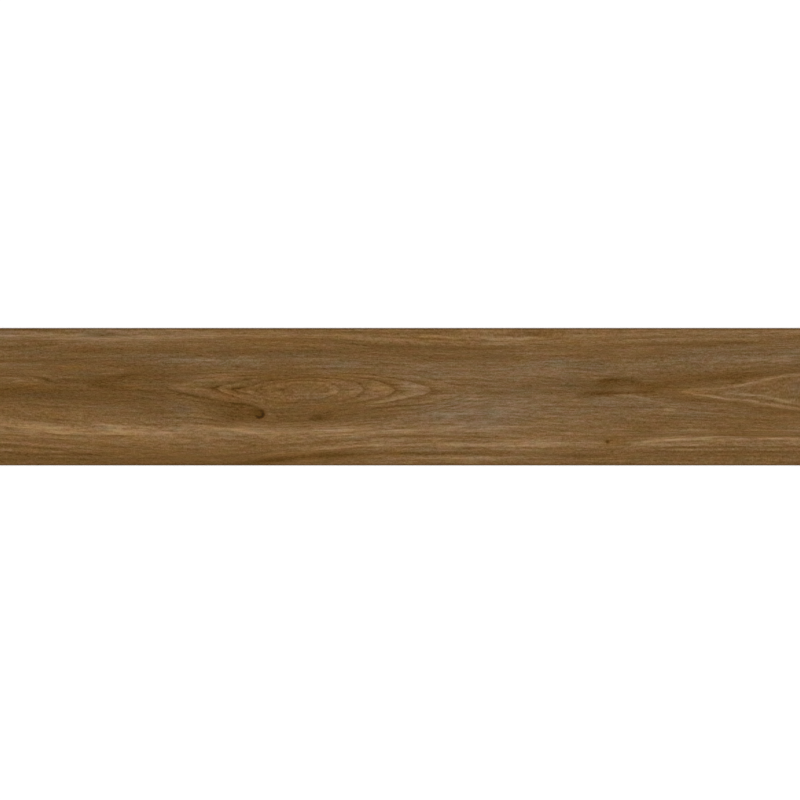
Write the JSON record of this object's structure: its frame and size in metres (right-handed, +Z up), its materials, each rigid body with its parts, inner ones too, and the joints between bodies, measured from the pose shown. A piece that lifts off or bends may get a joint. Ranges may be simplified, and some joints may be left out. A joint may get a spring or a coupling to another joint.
{
  "type": "wood-look porcelain plank tile",
  "caption": "Long flat porcelain plank tile with a matt printed wood-grain face, ground bevelled edges and a keyed back; laid in adhesive as floor or wall covering.",
  "frame": {"origin": "middle of the back, on the plane of the keying ribs", "axes": "+X along the plank and its grain, +Y across the plank, +Z up out of the printed face"},
  "size_m": [1.2, 0.2, 0.009],
  "materials": {
    "wood_look_porcelain": "matte"
  },
  "bodies": {
    "root": {"plank_tile": "wood_look_porcelain"}
  },
  "joints": []
}
